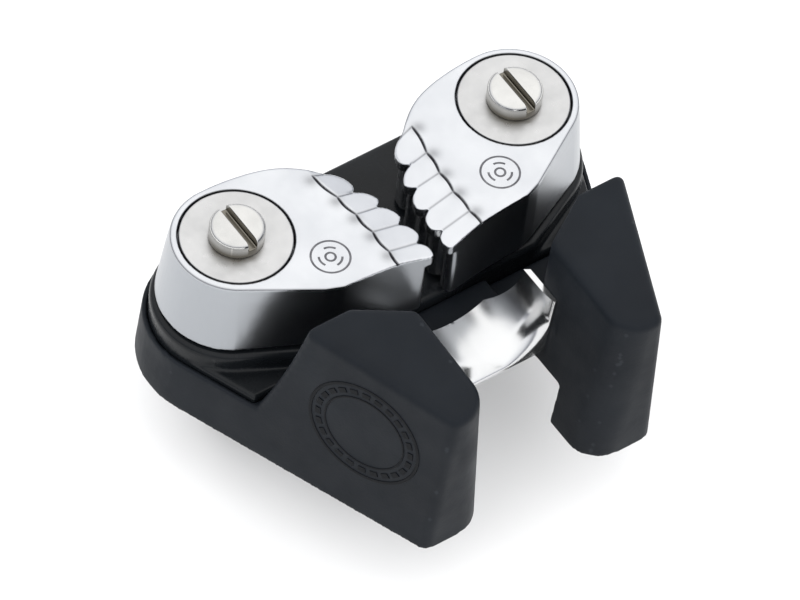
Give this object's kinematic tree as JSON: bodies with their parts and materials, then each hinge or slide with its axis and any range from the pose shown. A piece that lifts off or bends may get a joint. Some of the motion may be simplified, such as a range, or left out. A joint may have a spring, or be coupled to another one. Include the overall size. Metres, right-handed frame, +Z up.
{
  "type": "cam cleat",
  "caption": "Cam cleat with two spring-closed toothed cams on ball bearings, black base and a two-horned fairlead with a polished steel throat.",
  "frame": {"origin": "centre of the underside, half way between the two fixing screws", "axes": "+X from the left cam to the right cam as seen from the crew side, +Y towards the load side (rear), the rope comes out to the crew at -Y, +Z up from the deck"},
  "size_m": [0.058, 0.0455, 0.0351],
  "materials": {
    "base_plastic": "fine moulded texture, charcoal",
    "cleat_plastic": "semi-gloss moulded black",
    "insert_steel": "mirror-polished stainless sheet",
    "cam_alloy": "polished casting",
    "hub_steel": "turned stainless",
    "cap_steel": "satin, turned",
    "ball_plastic": "ground acetal balls",
    "cage_plastic": "black acetal",
    "spring_steel": "drawn spring wire",
    "screw_steel": "bright stainless"
  },
  "bodies": {
    "base": {"cleat_base": "cleat_plastic", "fairlead_base": "base_plastic", "fairlead_insert": "insert_steel", "left_ball_spacer": "cage_plastic", "left_hub": "hub_steel", "left_hub_cap": "cap_steel", "left_lower_balls": "ball_plastic", "left_screw": "screw_steel", "left_spring": "spring_steel", "left_thrust_washer": "cage_plastic", "left_upper_balls": "ball_plastic", "right_ball_spacer": "cage_plastic", "right_hub": "hub_steel", "right_hub_cap": "cap_steel", "right_lower_balls": "ball_plastic", "right_screw": "screw_steel", "right_spring": "spring_steel", "right_thrust_washer": "cage_plastic", "right_upper_balls": "ball_plastic"},
    "left_cam": {"left_cam": "cam_alloy"},
    "right_cam": {"right_cam": "cam_alloy"}
  },
  "joints": [
    {"name": "left_cam_pivot", "type": "hinge", "parent": "base", "child": "left_cam", "pos_m": [-0.019, 0, 0.016], "axis": [0, 0, -1], "range_deg": [0, 28], "stiffness_Nm_per_rad": 0.015, "springref_deg": -34.38},
    {"name": "right_cam_pivot", "type": "hinge", "parent": "base", "child": "right_cam", "pos_m": [0.019, 0, 0.016], "axis": [0, 0, 1], "range_deg": [0, 28], "stiffness_Nm_per_rad": 0.015, "springref_deg": -34.38}
  ]
}
